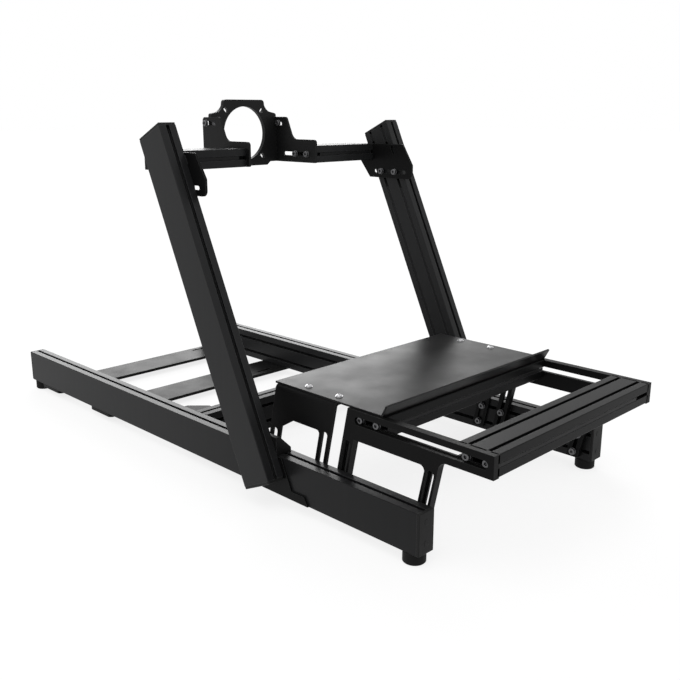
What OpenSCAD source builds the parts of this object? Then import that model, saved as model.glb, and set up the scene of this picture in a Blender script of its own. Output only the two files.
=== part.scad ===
// Sim racing cockpit, an open frame of slotted aluminium profiles and cut plates.
// Millimetres. +Y points forward to the pedal end, +X is the driver's right, Z = 0 is the floor.

/* [Base rails] */
// Width of every slotted profile
profile_w = 40; // [30:1:60]
// Height of every slotted profile
profile_h = 80; // [60:1:120]
// Cut length of each base rail
rail_length = 1400; // [1000:10:1800]
// Distance over the outer faces of the two base rails
rail_outer_width = 616; // [500:2:760]
// Height of each foot under the rails
foot_h = 22; // [12:1:60]
// Diameter of each foot
foot_dia = 42; // [25:1:60]
// Distance from a rail end to the foot centre
foot_inset = 26; // [22:1:120]
// Chamfer on the lower edge of a foot
foot_chamfer = 2; // [0.5:0.5:6]
// Chamfer on the upper edge of a foot
foot_edge = 1; // [0.5:0.5:4]
// Thickness of the end caps
cap_t = 6; // [3:0.5:12]
// Chamfer round the outer face of an end cap
cap_chamfer = 1.5; // [0.5:0.5:3]
// Diameter of the screw covers in the end caps
cap_cover = 11; // [8:0.5:16]
// How far the screw covers stand out of the end caps
cap_cover_rise = 0.6; // [0.2:0.1:1.5]
// How far the end caps' pegs reach into the profile
cap_peg = 8; // [4:1:20]
// How much thinner those pegs are than the core bores
cap_peg_gap = 0.3; // [0.1:0.05:0.6]

/* [Profile section] */
// Width of the slot mouth
slot_mouth = 8.2; // [5:0.1:12]
// Thickness of the lips beside the mouth
slot_lip = 4.5; // [2:0.1:7]
// Width of the slot chamber
slot_chamber = 20; // [12:0.2:26]
// Depth of the slot chamber's straight part
slot_straight = 3.4; // [1:0.1:5]
// Full depth of a slot
slot_depth = 12.5; // [8:0.1:15]
// Width of the slot floor
slot_floor = 10; // [5:0.5:12]
// Wall left over the chamber on a closed face
closed_wall = 2; // [1.5:0.1:4]
// Diameter of the core bores
core_bore = 6.8; // [4:0.1:10]
// Size of the square hollows in the corners
corner_hollow = 6; // [3:0.1:7]
// Wall outside the corner hollows and the middle chamber
outer_wall = 2.2; // [1.5:0.1:4]
// Wall between the middle chamber and the slots beside it
inner_wall = 2.4; // [1.5:0.1:5]
// Step of the middle chamber inside the slots' straight part
chamber_step = 1.2; // [0.6:0.1:2]
// Radius on the long edges
edge_r = 1.5; // [0.5:0.25:3]

/* [Seat plates] */
// Width of a seat cross plate, front to back
seat_plate_w = 100; // [60:1:160]
// Thickness of a seat cross plate
seat_plate_t = 8; // [4:0.5:12]
// Corner radius of a seat cross plate
seat_plate_r = 12; // [2:1:30]
// Gap between a rear foot and the rear seat plate
seat_foot_gap = 8; // [4:1:60]
// Distance from the rear seat plate to the front one
seat_spacing = 261; // [180:1:400]
// Distance of the seat slots' centres from the rails' inner faces
seat_slot_inset = 60; // [30:1:120]
// Length of a seat slot, end to end
seat_slot_len = 48; // [20:1:90]
// Width of a seat slot
seat_slot_w = 8.6; // [6:0.1:12]
// Distance of a seat slot from the plate's outer edge
seat_slot_edge = 20; // [12:1:50]

/* [Cross member] */
// Front face of the cross member behind the rail fronts
cross_y = 646; // [500:1:900]
// Leg length of a corner bracket
corner_leg = 44; // [30:1:60]
// Wall thickness of a corner bracket
corner_t = 5; // [3:0.5:8]
// Thickness of the corner bracket side webs
corner_web = 3.5; // [2:0.5:6]
// Height of the corner bracket's closed leg ends
corner_lip = 9; // [4:1:16]
// Place of the bolts along a corner bracket's legs, as a share of the leg
corner_bolt_at = 0.55; // [0.45:0.05:0.65]
// Diameter of the corner bracket bolt holes
corner_hole = 8.6; // [6:0.1:11]
// Gap between a corner bracket and each end of the profile height
corner_inset = 1; // [0:0.5:10]

/* [Uprights] */
// Lean of the uprights back from vertical
lean = 25; // [0:1:40]
// Cut length of each upright
upright_length = 726; // [400:2:1000]
// Lower front corner behind the rail fronts
upright_y = 336; // [250:1:600]
// Height of the lower front corner above the rail underside
upright_z = 40; // [36:1:90]
// Thickness of the upright side plates
side_plate_t = 4; // [3:0.5:10]
// Margin of the side plate ahead of the upright
side_margin = 8; // [4:0.5:30]
// Lower edge of the side plates above the rail underside
side_plate_low = 1; // [0:0.5:10]
// Height of the side plate toe above the rail underside
toe_h = 18.5; // [8:0.5:40]
// Reach of the toe ahead of the upright's lower front corner
toe_reach = 65; // [30:1:120]
// Depth of the slanted end of the toe
toe_slant = 11; // [2:1:30]
// Depth of the slanted rear corner of the side plate
heel_slant = 7.5; // [2:0.5:20]
// Height of that rear corner
heel_rise = 25; // [8:1:50]
// Width of the small corner brackets on the rail tops
small_bracket_w = 36; // [20:1:60]
// Leg length of the small corner brackets
small_bracket_leg = 38; // [25:1:60]

/* [Wheel arms] */
// Distance from the uprights' upper ends down their length to the arms
arm_drop = 87; // [50:1:300]
// Front face of the arms behind the front face of the uprights
arm_setback = 74.9; // [20:0.1:120]
// Thickness of the plates that join arms and uprights
arm_plate_t = 5; // [3:0.5:10]
// Thickness of the wheel mount side brackets
wheel_bracket_t = 5; // [3:0.5:10]
// Width of the wheel mount plate
wheel_plate_w = 196; // [160:1:260]
// Thickness of the wheel mount plate
wheel_plate_t = 10; // [5:0.5:15]
// Gap between the arms and the wheel mount plate
wheel_plate_gap = 50; // [20:1:120]
// Height of the wheel hole centre above the arm centres
wheel_hole_rise = 48; // [0:1:100]
// Top of the wheel mount plate above the hole centre
wheel_plate_top = 77.5; // [70:0.5:110]
// Bottom of the wheel mount plate below the hole centre
wheel_plate_low = 76; // [70:0.5:110]
// Half the width of the wheel mount plate's bottom edge
wheel_tab_w = 68; // [50:1:80]
// Depth of the wheel mount plate's stepped bottom corners
wheel_tab_h = 8; // [4:0.5:16]
// Distance of the wheel mount plate's ears from its middle
wheel_ear_x = 52; // [30:1:60]
// Corner radius of those ears
wheel_ear_r = 9.5; // [5:0.5:15]
// Radius of the scallops beside the ears
wheel_scallop_r = 30; // [10:1:40]
// Height of the wheel mount plate's shoulders above the hole centre
wheel_shoulder = 41.5; // [30:0.5:50]
// Radius of those shoulders
wheel_shoulder_r = 5; // [2:0.5:10]
// Diameter of the wheel hole
wheel_hole_dia = 124; // [80:1:150]
// Half the distance between the fixing slots of the wheel mount plate
wheel_slot_off = 53.7; // [40:0.1:70]
// Length of those fixing slots, end to end
wheel_slot_len = 16; // [9:0.5:24]
// Width of the slots for the frame bolts
bolt_slot_w = 8.6; // [6:0.1:12]
// Depth of the arm plate's tongue below the arms
arm_tongue = 43; // [25:1:80]
// Reach of that tongue ahead of the arms' front face
arm_reach = 131; // [90:1:180]
// Reach of the arm plate's upper edge ahead of the arms' front face
arm_reach_top = 100; // [70:1:160]
// Corner radius of the tongue
arm_plate_r = 12; // [4:1:20]
// Length of the slot in the tongue, end to end
arm_slot_len = 106; // [50:1:140]
// Distance of that slot's front end from the tongue's
arm_slot_edge = 20; // [8:1:40]
// Height of that slot above the tongue's lower edge
arm_slot_rise = 16; // [10:1:30]
// Length of the leaning slot over it, end to end
lean_slot_len = 22; // [12:1:40]
// Place of the leaning slot ahead of the arms' front face
lean_slot_y = 68; // [40:1:120]
// Height of the leaning slot above the arm centres
lean_slot_z = 6; // [0:1:14]
// Reach of the wheel brackets ahead of the arms' front face
bracket_lead = 11; // [4:1:40]
// Reach of the wheel brackets behind the pivot bolt
bracket_rear = 21; // [12:1:40]
// Height of the front part of the wheel brackets
bracket_h = 54; // [42:1:80]
// Length of the wheel brackets' lower slot, end to end
bracket_slot_len = 88; // [50:1:120]
// Distance of the lower slot's front end behind the arms' front face
bracket_slot_lead = 16; // [0:1:30]
// Radius of the curved tilt slot round the pivot bolt
tilt_reach = 73; // [50:1:100]
// Angle of the curved slot's front end, from straight ahead
tilt_front_angle = 72; // [50:1:85]
// Angle of the curved slot's rear end
tilt_rear_angle = 97; // [88:1:120]
// Margin of the wheel brackets over the tilt slot
tilt_margin = 13; // [8:1:30]
// Front end of the wheel brackets' raised part ahead of the pivot bolt
tilt_front = 45; // [30:1:80]
// Radius of the fillet in front of the raised part
bracket_fillet = 21; // [8:1:40]
// Corner radius of the wheel brackets
bracket_r = 8; // [3:0.5:15]

/* [Pedal deck] */
// Height of the deck beams' top face above the rail underside
deck_top = 207; // [140:1:320]
// Thickness of the deck side plates
deck_plate_t = 5; // [3:0.5:10]
// Thickness of the end plates on the deck beams
beam_end_t = 6; // [3:0.5:12]
// Centre of the front deck beam ahead of the rail fronts
front_beam_y = 75; // [0:1:200]
// Centre of the rear deck beam behind the rail fronts
rear_beam_y = 163; // [100:1:300]
// Lean of the deck legs back from vertical
leg_lean = 12; // [0:1:25]
// Width of the deck legs
leg_w = 39; // [28:1:60]
// Centre line of the front deck legs behind the rail fronts, at the rail underside
front_leg_y = 41; // [20:1:80]
// Margin of the deck side plates behind the rear beam
deck_margin = 9; // [4:1:30]
// Margin round the leg slots
leg_slot_edge = 8; // [5:0.5:15]
// Top of the slots in the front deck legs above the rail underside
front_slot_top = 143; // [90:1:160]
// Top of the slots in the rear deck legs above the rail underside
rear_slot_top = 114; // [90:1:160]
// Corner radius of the deck windows
window_r = 10; // [4:1:20]
// Lower end of the deck legs above the rail underside
leg_bottom = 8; // [2:1:16]
// Top of the window in the deck side plates above the rail underside
deck_window_top = 146; // [100:1:170]
// Depth of the front end of the deck side plates
deck_nose = 43; // [40:1:80]
// Radius under the front end of the deck side plates
nose_r = 17; // [6:1:30]

/* [Heel plate] */
// Thickness of the heel plate
heel_t = 4; // [2:0.5:8]
// Gap between the heel plate and the plane of each rail's inner face
heel_side_gap = 5; // [1:1:60]
// Gap between the deck side plates and the heel brackets
heel_gap = 28; // [6:1:80]
// Length of the heel brackets
heel_bracket_len = 174; // [140:1:260]
// How far the heel plate reaches ahead of the rear deck beam's middle
heel_lap = 33; // [0:1:40]
// Length of the turned up lip
heel_lip = 25; // [10:1:60]
// Slope of the turned up lip above level
heel_lip_angle = 62; // [20:1:90]
// Length of the top flange of a heel bracket
flange_w = 46; // [30:1:80]
// Outer bend radius of a heel bracket
bend_r = 9; // [6:0.5:20]
// Diameter of the heel plate bolt holes
heel_hole = 6.6; // [4:0.1:9]
// Distance of the heel plate bolts from the rails' inner faces
heel_bolt_edge = 26; // [14:1:40]
// Distance of the front heel plate bolts from the brackets' front ends
heel_bolt_lead = 16; // [10:1:40]
// Distance between the two bolts of a heel bracket
heel_bolt_pitch = 84; // [40:1:140]
// Height of the window in the heel brackets above the rail underside
heel_window_top = 142; // [100:1:170]
// Width of the slanted corner of that window
heel_slant_w = 36; // [10:1:60]
// Height of that slanted corner
heel_slant_h = 22; // [6:1:40]

/* [Hidden] */
// How finely the round edges are drawn in the views
$fn = 28;
// A small overlap so cuts run clean through
e = 0.5;
// Length from the rail fronts back to the rail rears, with both caps
base_len = rail_length + 2 * cap_t;
// Front of the deck ahead of the rail fronts
deck_front = front_beam_y + profile_h / 2;
// Everything is moved along Y so the overall length is centred
shift_y = (base_len - deck_front) / 2;
// Middle of a base rail across the frame
rail_x = (rail_outer_width - profile_w) / 2;
// Inner faces of the base rails
inner_x = rail_outer_width / 2 - profile_w;
// Inner face of an upright
upright_x = rail_outer_width / 2 + side_plate_t;
// Inner faces of the wheel mount brackets
wheel_in_x = wheel_plate_w / 2;
// Outer faces of the wheel mount brackets
wheel_out_x = wheel_in_x + wheel_bracket_t;
// Outer end of the arms
arm_out_x = upright_x - arm_plate_t;
// Lean of the legs as sideways run for each unit of height
leg_run = tan(leg_lean);
// Half length of a deck beam between its end plates
beam_half = inner_x - deck_plate_t - beam_end_t;
// Height of the deck bolts above the rail underside
deck_bolt_z = deck_top - profile_w / 2;
// Distance between the two bolts in a profile end
bolt_pitch = profile_h / 2;
// Rear edges of the two seat plates behind the rail fronts
seat_rear_y = base_len - foot_inset - foot_dia / 2 - seat_foot_gap;
seat_front_y = seat_rear_y - seat_spacing;
// Height of the arm centres above the upright's lower front corner, and above the rail underside
arm_rise = (upright_length + 2 * cap_t - arm_drop) * cos(lean);
arm_z = upright_z + arm_rise;
// Front face of the arms behind the rail fronts
arm_y = upright_y + arm_rise * tan(lean) + arm_setback;
// Front face and hole centre of the wheel mount plate
wheel_plate_y = arm_y + profile_h + wheel_plate_gap;
wheel_hole_z = arm_z + wheel_hole_rise;
// Rear top corner of the deck side plates behind the rail fronts
deck_rear = rear_beam_y + profile_h / 2 + deck_margin;
// Front end of the heel brackets, and the ends of the heel plate
heel_bracket_y = deck_rear + heel_gap;
heel_rear = heel_bracket_y + heel_bracket_len;
heel_front = rear_beam_y - heel_lap;
heel_w = 2 * (inner_x - heel_side_gap);
// Places of the heel plate bolts
heel_bolt_y = [-heel_bracket_y - heel_bolt_lead - heel_bolt_pitch, -heel_bracket_y - heel_bolt_lead];
heel_bolt_x = inner_x - heel_bolt_edge;

// Which piece to draw

// Shared shapes

// Points of an arc from angle a0 to angle a1
function arc(cx, cy, r, a0, a1, n = 6) =
    [for (i = [0:n]) [cx + r * cos(a0 + (a1 - a0) * i / n), cy + r * sin(a0 + (a1 - a0) * i / n)]];

// Rectangle with round corners, centred
module round_rect(w, h, r) {
    square([w - 2 * r, h], center = true);
    square([w, h - 2 * r], center = true);
    for (sx = [-1, 1], sy = [-1, 1])
        translate([sx * (w / 2 - r), sy * (h / 2 - r)]) circle(r);
}

// Slot with round ends along X, centred, l is end to end
module slot2d(l, w) {
    square([l - w, w], center = true);
    for (s = [-1, 1]) translate([s * (l - w) / 2, 0]) circle(d = w);
}

// One slot of a profile, mouth towards +X, face at x = 0
module profile_slot(open) {
    m = slot_mouth / 2;
    c = slot_chamber / 2;
    f = slot_floor / 2;
    if (open) {
        polygon([[e, -m], [e, m], [-slot_lip, m], [-slot_lip, c], [-slot_lip - slot_straight, c],
            [-slot_depth, f], [-slot_depth, -f], [-slot_lip - slot_straight, -c], [-slot_lip, -c],
            [-slot_lip, -m]]);
    } else {
        polygon([[-closed_wall, c], [-slot_lip - slot_straight, c], [-slot_depth, f],
            [-slot_depth, -f], [-slot_lip - slot_straight, -c], [-closed_wall, -c]]);
    }
}

// Section of the profile, width along X, height along Y; right and left are the tall faces
module profile_section(right, left, top, bottom) {
    hw = profile_w / 2;
    hh = profile_h / 2;
    cell = profile_h / 4;
    // middle chamber: wide arms between the slots, deeper over the cores
    mx = hw - outer_wall;
    my = cell - slot_chamber / 2 - inner_wall;
    cx = hw - slot_lip - slot_straight - chamber_step;
    ty = cell - (hw - slot_depth) - inner_wall;
    difference() {
        round_rect(profile_w, profile_h, edge_r);
        for (s = [-1, 1]) {
            translate([hw, s * cell]) profile_slot(right);
            translate([-hw, s * cell]) rotate(180) profile_slot(left);
            translate([0, s * cell]) circle(d = core_bore, $fn = 24);
        }
        translate([0, hh]) rotate(90) profile_slot(top);
        translate([0, -hh]) rotate(-90) profile_slot(bottom);
        polygon([[mx, my], [cx, my], [hw - slot_depth, ty], [slot_depth - hw, ty], [-cx, my],
            [-mx, my], [-mx, -my], [-cx, -my], [slot_depth - hw, -ty], [hw - slot_depth, -ty],
            [cx, -my], [mx, -my]]);
        for (sx = [-1, 1], sy = [-1, 1]) translate([sx * (hw - outer_wall - corner_hollow / 2),
            sy * (hh - outer_wall - corner_hollow / 2)]) square(corner_hollow, center = true);
    }
}

// End cap for the profile, outer face towards +Z, inner face at z = 0
module profile_cap() {
    w = profile_w;
    h = profile_h;
    c = cap_chamfer;
    intersection() {
        linear_extrude(cap_t) round_rect(w, h, 2 * edge_r);
        rotate([90, 0, 0]) linear_extrude(h, center = true)
            polygon([[-w / 2, 0], [w / 2, 0], [w / 2, cap_t - c], [w / 2 - c, cap_t],
                [c - w / 2, cap_t], [-w / 2, cap_t - c]]);
        rotate([90, 0, 90]) linear_extrude(w, center = true)
            polygon([[-h / 2, 0], [h / 2, 0], [h / 2, cap_t - c], [h / 2 - c, cap_t],
                [c - h / 2, cap_t], [-h / 2, cap_t - c]]);
    }
    for (s = [-1, 1]) translate([0, s * h / 4, 0]) {
        translate([0, 0, cap_t - 1]) cylinder(d = cap_cover, h = 1 + cap_cover_rise);
        translate([0, 0, -cap_peg])
            cylinder(d = core_bore - cap_peg_gap, h = cap_peg + 1, $fn = 20);
    }
}

// Move from the rail fronts and the rail underside to the shared frame
module place() {
    translate([0, shift_y, foot_h]) children();
}

// Draw for the driver's right, or mirrored for the left
module side(s) {
    if (s > 0) children(); else mirror([1, 0, 0]) children();
}

// Extrude a (y, z) outline along X from x0 by t
module yz_plate(x0, t) {
    translate([x0, 0, 0]) rotate([90, 0, 90]) linear_extrude(t) children();
}

// Base

module base_rail(s) {
    color("#232425") place() side(s)
        translate([rail_x, -cap_t, profile_h / 2]) rotate([90, 0, 0])
            linear_extrude(rail_length) profile_section(false, true, true, true);
}

module rail_cap(s, front) {
    color("#161616") place() side(s)
        translate([rail_x, front ? -cap_t : -cap_t - rail_length, profile_h / 2])
            rotate([front ? -90 : 90, 0, 0]) profile_cap();
}

module foot(s, y) {
    r = foot_dia / 2;
    c = foot_chamfer;
    color("#101010") side(s) translate([rail_x, shift_y + y, 0])
        rotate_extrude($fn = 40)
            polygon([[0, 0], [r - c, 0], [r, c], [r, foot_h - foot_edge],
                [r - foot_edge, foot_h], [0, foot_h]]);
}

module seat_plate(rear_y, slot_y) {
    color("#2b2c2d") place()
        translate([0, 0, -seat_plate_t]) linear_extrude(seat_plate_t) difference() {
            translate([0, -rear_y + seat_plate_w / 2])
                round_rect(rail_outer_width, seat_plate_w, seat_plate_r);
            for (s = [-1, 1]) {
                translate([s * (inner_x - seat_slot_inset), slot_y]) slot2d(seat_slot_len, seat_slot_w);
                for (v = [-1, 1]) translate([s * rail_x, v * seat_plate_w / 4 - rear_y
                    + seat_plate_w / 2]) circle(d = corner_hole);
            }
        }
}

module cross_member() {
    color("#232425") place()
        translate([-inner_x, -cross_y - profile_w / 2, profile_h / 2])
            rotate([90, 0, 90]) linear_extrude(2 * inner_x) profile_section(true, true, true, true);
}

// Cast corner bracket: legs along +X and +Y, width along Z, centred in Z
module corner_bracket(leg, width, holes) {
    lip = corner_lip;
    difference() {
        translate([0, 0, -width / 2]) {
            cube([leg, corner_t, width]);
            cube([corner_t, leg, width]);
            cube([leg, lip, corner_web]);
            for (z = [0, width - corner_web]) translate([0, 0, z])
                linear_extrude(corner_web)
                    polygon([[0, 0], [leg, 0], [leg, lip], [lip, leg], [0, leg]]);
            translate([leg - corner_web, 0, 0]) cube([corner_web, lip, width]);
            translate([0, leg - corner_web, 0]) cube([lip, corner_web, width]);
        }
        for (z = holes) {
            translate([leg * corner_bolt_at, -e, z]) rotate([-90, 0, 0])
                cylinder(d = corner_hole, h = corner_t + 2 * e);
            translate([-e, leg * corner_bolt_at, z]) rotate([0, 90, 0])
                cylinder(d = corner_hole, h = corner_t + 2 * e);
        }
    }
}

module cross_bracket(s) {
    color("#303132") place() side(s)
        translate([inner_x, -cross_y - profile_w, profile_h / 2]) rotate(180)
            corner_bracket(corner_leg, profile_h - 2 * corner_inset, [-profile_h / 4, profile_h / 4]);
}

module rail_top_bracket(s) {
    slot_y = -upright_y - (profile_h - upright_z) * tan(lean) - profile_h / 4 / cos(lean);
    color("#303132") place() side(s)
        translate([upright_x, slot_y, profile_h]) rotate([90, 0, 0]) mirror([1, 0, 0])
            corner_bracket(small_bracket_leg, small_bracket_w, [0]);
}

// Uprights

// Move to the upright: local Z runs up its length, local Y forward, local X across
module upright_frame() {
    place() translate([upright_x + profile_w / 2, -upright_y, upright_z])
        rotate([lean, 0, 0]) translate([0, -profile_h / 2, 0]) children();
}

module upright(s) {
    color("#232425") side(s) upright_frame() translate([0, 0, cap_t])
        linear_extrude(upright_length) profile_section(false, true, true, true);
}

module upright_cap(s, top) {
    color("#161616") side(s) upright_frame() {
        if (top) translate([0, 0, cap_t + upright_length]) profile_cap();
        else translate([0, 0, cap_t]) rotate([180, 0, 0]) profile_cap();
    }
}

module upright_side_plate(s) {
    run = tan(lean);
    // y on the line parallel to the upright, the margin ahead of its front face
    fy = -upright_y + side_margin / cos(lean) + upright_z * run;
    ry = -upright_y + upright_z * run - (profile_h - side_margin) / cos(lean);
    tip = -upright_y + toe_reach;
    color("#2b2c2d") place() side(s)
        yz_plate(rail_outer_width / 2, side_plate_t)
            polygon([[fy - profile_h * run, profile_h], [fy - toe_h * run, toe_h],
                [tip - toe_slant, toe_h], [tip, side_plate_low], [ry - heel_slant, side_plate_low],
                [ry - heel_rise * run, heel_rise], [ry - profile_h * run, profile_h]]);
}

// Wheel arms

module arm(s) {
    color("#232425") place() side(s)
        translate([wheel_out_x, -arm_y - profile_h / 2, arm_z])
            rotate([90, 0, 90]) linear_extrude(arm_out_x - wheel_out_x)
                rotate(90) profile_section(true, true, true, true);
}

module arm_plate(s) {
    t = arm_z + profile_w / 2;
    b = arm_z - profile_w / 2;
    lo = b - arm_tongue;
    back = -arm_y - profile_h;
    f = -arm_y + arm_reach;
    color("#2b2c2d") place() side(s)
        yz_plate(arm_out_x, arm_plate_t) difference() {
            polygon(concat([[back, t], [back, b], [back + profile_h * 0.46, b],
                [back + profile_h * 0.9, lo]],
                arc(f - arm_plate_r, lo + arm_plate_r, arm_plate_r, -90, 0),
                [[f, b - arm_plate_r * 0.75], [-arm_y + arm_reach_top, t]]));
            translate([f - arm_slot_edge - arm_slot_len / 2, lo + arm_slot_rise])
                slot2d(arm_slot_len, bolt_slot_w);
            translate([-arm_y + lean_slot_y, arm_z + lean_slot_z]) rotate(lean - 90)
                slot2d(lean_slot_len, bolt_slot_w);
            for (v = [-1, 1]) translate([-arm_y - profile_h / 2 + v * profile_h / 4, arm_z])
                circle(d = bolt_slot_w);
        }
}

module wheel_bracket(s) {
    pivot = [-wheel_plate_y - wheel_plate_t / 2, arm_z];
    b = arm_z - profile_w / 2;
    f = -arm_y + bracket_lead;
    rear = pivot.x - bracket_rear;
    neck = pivot.x + tilt_front + bracket_fillet * 1.6;
    crest = arm_z + tilt_reach + tilt_margin;
    r = bracket_r;
    color("#2b2c2d") place() side(s)
        yz_plate(wheel_in_x, wheel_bracket_t) difference() {
            polygon(concat([[rear, b], [f - r / 2, b]], arc(f - r / 2, b + r / 2, r / 2, -90, 0, 3),
                arc(f - r, b + bracket_h - r, r, 0, 90),
                arc(neck, b + bracket_h + bracket_fillet, bracket_fillet, 270, 203),
                arc(pivot.x + tilt_front - r, crest - r, r, 20, 90, 4),
                arc(rear + r, crest - r, r, 90, 180, 4)));
            translate([-arm_y - bracket_slot_lead - bracket_slot_len / 2, arm_z])
                slot2d(bracket_slot_len, bolt_slot_w);
            translate(pivot) {
                circle(d = bolt_slot_w);
                intersection() {
                    difference() {
                        circle(tilt_reach + bolt_slot_w / 2, $fn = 96);
                        circle(tilt_reach - bolt_slot_w / 2, $fn = 96);
                    }
                    polygon(concat([[0, 0]], arc(0, 0, 2 * tilt_reach, tilt_front_angle,
                        tilt_rear_angle, 5)));
                }
                for (a = [tilt_front_angle, tilt_rear_angle])
                    translate(tilt_reach * [cos(a), sin(a)]) circle(d = bolt_slot_w);
            }
        }
}

module wheel_mount_plate() {
    h = wheel_plate_w / 2;
    r = wheel_shoulder_r;
    // right half of the outline, from the top middle round to the bottom
    half = concat(arc(wheel_ear_x, wheel_plate_top - wheel_ear_r, wheel_ear_r, 90, 28, 5),
        arc(wheel_ear_x + wheel_ear_r + wheel_scallop_r * 0.9, wheel_plate_top, wheel_scallop_r,
            206, 246, 5),
        [[h - r, wheel_shoulder + r * 1.06]], arc(h - r, wheel_shoulder, r, 62, 0, 3),
        [[h, wheel_tab_h - wheel_plate_low],
        [wheel_tab_w + wheel_tab_h * 1.25, wheel_tab_h - wheel_plate_low],
        [wheel_tab_w, -wheel_plate_low]]);
    color("#262728") place()
        translate([0, -wheel_plate_y, wheel_hole_z]) rotate([90, 0, 0])
            linear_extrude(wheel_plate_t) difference() {
                polygon(concat(half, [for (i = [len(half) - 1:-1:0]) [-half[i].x, half[i].y]]));
                circle(d = wheel_hole_dia, $fn = 72);
                for (sx = [-1, 1], sy = [-1, 1])
                    translate([sx * wheel_slot_off, sy * wheel_slot_off])
                        rotate(sx * sy * 45) slot2d(wheel_slot_len, bolt_slot_w);
            }
}

// Pedal deck

module deck_side_plate(s) {
    f = deck_front;
    t = deck_top;
    w = deck_window_top;
    n = t - deck_nose;
    // edges of the rear and front legs at height zero, following their lean
    r0 = -deck_rear - t * leg_run;
    g0 = r0 + leg_w;
    g1 = -front_leg_y - leg_w / 2;
    l1 = g1 + leg_w;
    b = leg_bottom;
    color("#2b2c2d") place() side(s)
        yz_plate(inner_x - deck_plate_t, deck_plate_t) difference() {
            polygon(concat([[r0 + b * leg_run, b], [g0 + b * leg_run, b],
                [g0 + w * leg_run, w]], arc(g1 + (w - window_r) * leg_run - window_r, w - window_r,
                window_r, 90, 0), [[g1 + b * leg_run, b], [l1 + b * leg_run, b]],
                arc(l1 + (n - nose_r) * leg_run + nose_r, n - nose_r, nose_r, 174, 90),
                [[f, n], [f, t], [r0 + t * leg_run, t]]));
            translate([(front_beam_y - rear_beam_y) / 2, deck_bolt_z])
                slot2d(front_beam_y + rear_beam_y + bolt_pitch + bolt_slot_w, bolt_slot_w);
            leg_slot(r0 + leg_w / 2, rear_slot_top);
            leg_slot(l1 - leg_w / 2, front_slot_top);
        }
}

// Slot along a leaning leg: y0 is its line at height zero, top is its upper end
module leg_slot(y0, top) {
    low = leg_bottom + leg_slot_edge;
    mid = (low + top) / 2;
    translate([y0 + mid * leg_run, mid]) rotate(90 - leg_lean)
        slot2d((top - low) / cos(leg_lean), bolt_slot_w);
}

module deck_beam(y) {
    color("#232425") place()
        translate([-beam_half, y, deck_top - profile_w / 2])
            rotate([90, 0, 90]) linear_extrude(2 * beam_half)
                rotate(90) profile_section(true, true, true, true);
}

module beam_end(s, y) {
    color("#2b2c2d") place() side(s)
        yz_plate(beam_half, beam_end_t) translate([y, deck_top - profile_w / 2]) difference() {
            round_rect(profile_h, profile_w, edge_r);
            for (v = [-1, 1]) translate([v * profile_h / 4, 0]) circle(d = bolt_slot_w);
        }
}

// Heel plate

module heel_plate() {
    a = heel_lip_angle;
    zl = heel_lip;
    n = [-sin(a), cos(a)] * heel_t;
    d = [cos(a), sin(a)] * zl;
    f = -heel_front;
    color("#3a3b3c") place()
        difference() {
            translate([-heel_w / 2, 0, deck_top]) rotate([90, 0, 90]) linear_extrude(heel_w)
                polygon([[-heel_rear, 0], [f + heel_t * tan(a / 2), 0],
                    [f + heel_t * tan(a / 2), 0] + d, [f + heel_t * tan(a / 2), 0] + d + n,
                    [f, heel_t], [-heel_rear, heel_t]]);
            for (s = [-1, 1], y = heel_bolt_y)
                translate([s * heel_bolt_x, y, deck_top - e]) cylinder(d = heel_hole, h = heel_t + 2 * e);
        }
}

module heel_bracket(s) {
    t = deck_plate_t;
    top = deck_top;
    zb = top - bend_r;
    w = heel_window_top;
    b = leg_bottom;
    // edges of the legs at height zero, following their lean
    r0 = -heel_rear - zb * leg_run;
    f0 = -heel_bracket_y - zb * leg_run;
    g0 = r0 + leg_w;
    g1 = f0 - leg_w;
    k = g0 + (w - heel_slant_h) * leg_run;
    r = window_r * 0.7;
    color("#2b2c2d") place() side(s) difference() {
        union() {
            yz_plate(inner_x - t, t)
                polygon(concat([[r0 + b * leg_run, b], [g0 + b * leg_run, b], [k, w - heel_slant_h],
                    [k + heel_slant_w, w]], arc(g1 + (w - r) * leg_run - r, w - r, r, 90, 0, 4),
                    [[g1 + b * leg_run, b], [f0 + b * leg_run, b], [f0 + zb * leg_run, zb],
                    [r0 + zb * leg_run, zb]]));
            translate([0, -heel_bracket_y, 0]) rotate([90, 0, 0]) linear_extrude(heel_bracket_len) {
                translate([inner_x - bend_r, zb]) difference() {
                    circle(bend_r, $fn = 32);
                    circle(bend_r - t, $fn = 32);
                    translate([-2 * bend_r, -2 * bend_r]) square([2 * bend_r, 4 * bend_r]);
                    translate([-bend_r, -2 * bend_r]) square([3 * bend_r, 2 * bend_r]);
                }
                translate([inner_x - flange_w, top - t]) square([flange_w - bend_r, t]);
            }
        }
        leg_cut(r0 + leg_w / 2, rear_slot_top);
        leg_cut(f0 - leg_w / 2, front_slot_top);
        for (y = heel_bolt_y) translate([heel_bolt_x, y, top - t - e])
            cylinder(d = heel_hole, h = t + 2 * e);
    }
}

// The leg slot as a cutter through a side plate
module leg_cut(y0, top) {
    translate([inner_x - deck_plate_t - e, 0, 0]) rotate([90, 0, 90])
        linear_extrude(deck_plate_t + 2 * e) leg_slot(y0, top);
}

// What is drawn

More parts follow.
